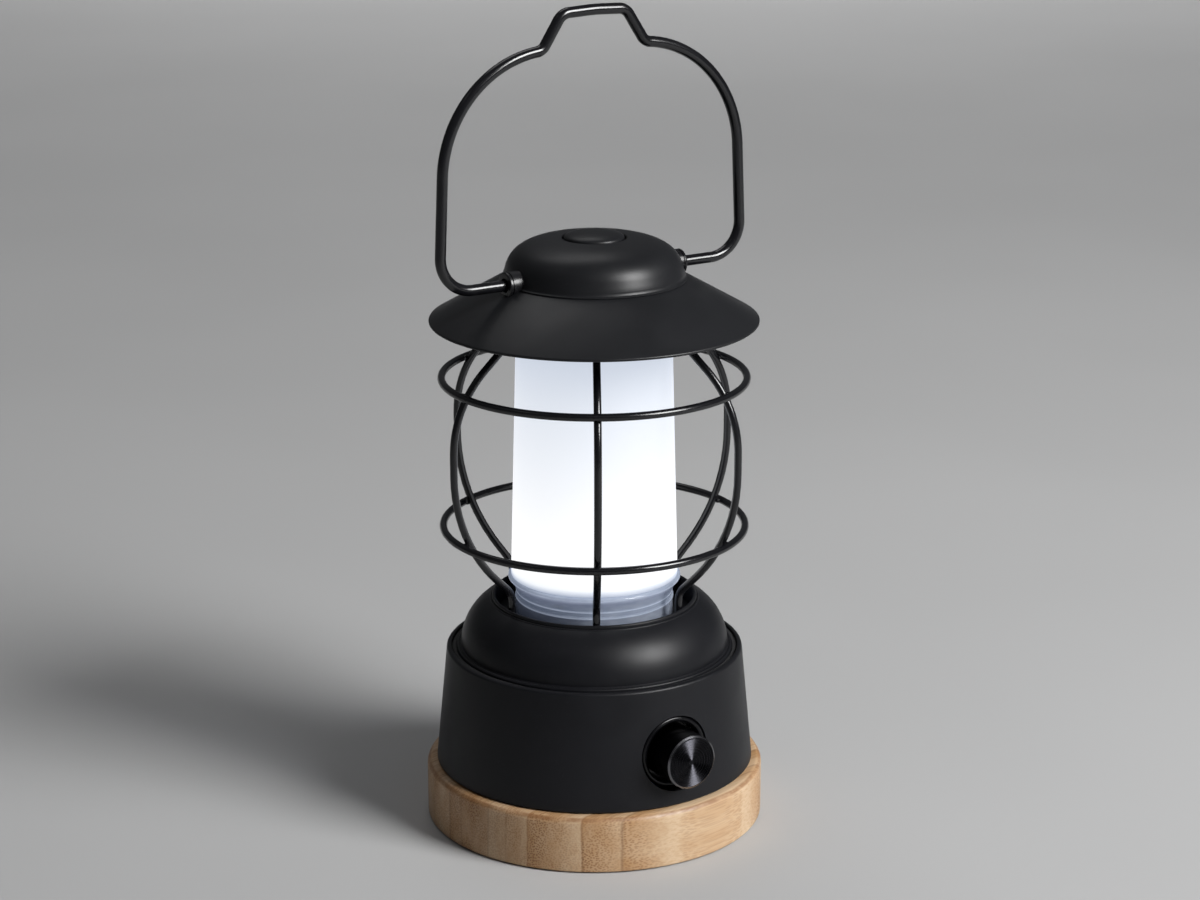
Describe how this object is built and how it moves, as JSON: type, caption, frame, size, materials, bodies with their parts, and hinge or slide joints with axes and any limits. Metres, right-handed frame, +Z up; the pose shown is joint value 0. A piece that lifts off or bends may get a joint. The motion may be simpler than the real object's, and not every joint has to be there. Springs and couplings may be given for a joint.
{
  "type": "camping lantern",
  "caption": "Retro LED camping lantern: bamboo foot ring, black housing with dimmer knob, wire cage round an opal diffuser, wide shade and swinging bail.",
  "frame": {"origin": "on the lantern's axis, on the underside of the foot pad, in the plane it stands on", "axes": "+Z up along the lantern's axis, -Y towards the dimmer knob, X along the bail's pivot axis"},
  "size_m": [0.1296, 0.1305, 0.3046],
  "materials": {
    "black_housing": "satin black powder-look coat",
    "black_roof": "satin black powder coat",
    "cage_wire": "semi-gloss black coat",
    "bail_wire": "semi-gloss black coat",
    "bail_lugs": "gloss black",
    "bamboo": "sealed laminated bamboo",
    "rubber": "matt black rubber",
    "opal_diffuser": "lit opal white, frosted, emissive cold white",
    "clear_collar": "clear acrylic",
    "knob_metal": "black anodised, spun face, bright chamfer",
    "bezel_gloss": "gloss black",
    "plated_steel": "zinc plated",
    "aluminium_plate": "milled",
    "led_board": "white solder mask",
    "led_phosphor": "phosphor yellow, emissive",
    "circuit_board": "green solder mask",
    "cell_wrap": "blue shrink wrap",
    "holder_plastic": "moulded black",
    "lead_red": "red insulation",
    "lead_black": "black insulation"
  },
  "bodies": {
    "root": {"lower_housing": "black_housing", "upper_housing": "black_housing", "neck_seat": "black_housing", "base_plate": "black_housing", "shade": "black_roof", "crown": "black_roof", "crown_boss": "black_roof", "cage_top_plate": "black_roof", "cage_rib_1": "cage_wire", "cage_rib_2": "cage_wire", "cage_rib_3": "cage_wire", "cage_rib_4": "cage_wire", "cage_rib_5": "cage_wire", "cage_rib_6": "cage_wire", "cage_ring_upper": "cage_wire", "cage_ring_lower": "cage_wire", "bail_lug_left": "bail_lugs", "bail_lug_right": "bail_lugs", "bamboo_base": "bamboo", "foot_pad": "rubber", "seam_gasket": "rubber", "top_pad": "rubber", "port_frame": "rubber", "diffuser": "opal_diffuser", "clear_collar": "clear_collar", "knob_bezel": "bezel_gloss", "base_screw_1": "plated_steel", "base_screw_2": "plated_steel", "base_screw_3": "plated_steel", "centre_bolt": "plated_steel", "dimmer": "plated_steel", "dimmer_nut": "plated_steel", "usb_socket": "plated_steel", "cover_pin": "plated_steel", "heat_spreader": "aluminium_plate", "led_board": "led_board", "led_chip_1": "led_phosphor", "led_chip_2": "led_phosphor", "led_chip_3": "led_phosphor", "led_chip_4": "led_phosphor", "led_chip_5": "led_phosphor", "led_chip_6": "led_phosphor", "control_board": "circuit_board", "battery_cell_front": "cell_wrap", "battery_cell_back": "cell_wrap", "battery_holder": "holder_plastic", "led_lead_positive": "lead_red", "led_lead_negative": "lead_black"},
    "bail": {"bail": "bail_wire"},
    "knob": {"knob": "knob_metal", "knob_shaft": "plated_steel"},
    "port_cover": {"port_cover": "rubber"}
  },
  "joints": [
    {"name": "bail_swing", "type": "hinge", "parent": "root", "child": "bail", "pos_m": [0, 0, 0.2073], "axis": [1, 0, 0], "range_deg": [-136, 136]},
    {"name": "knob_turn", "type": "hinge", "parent": "root", "child": "knob", "pos_m": [0, -0.0575, 0.041], "axis": [0, -1, 0], "range_deg": [0, 300]},
    {"name": "port_cover_hinge", "type": "hinge", "parent": "root", "child": "port_cover", "pos_m": [0, 0.0566, 0.0304], "axis": [-1, 0, 0], "range_deg": [0, 110]}
  ]
}
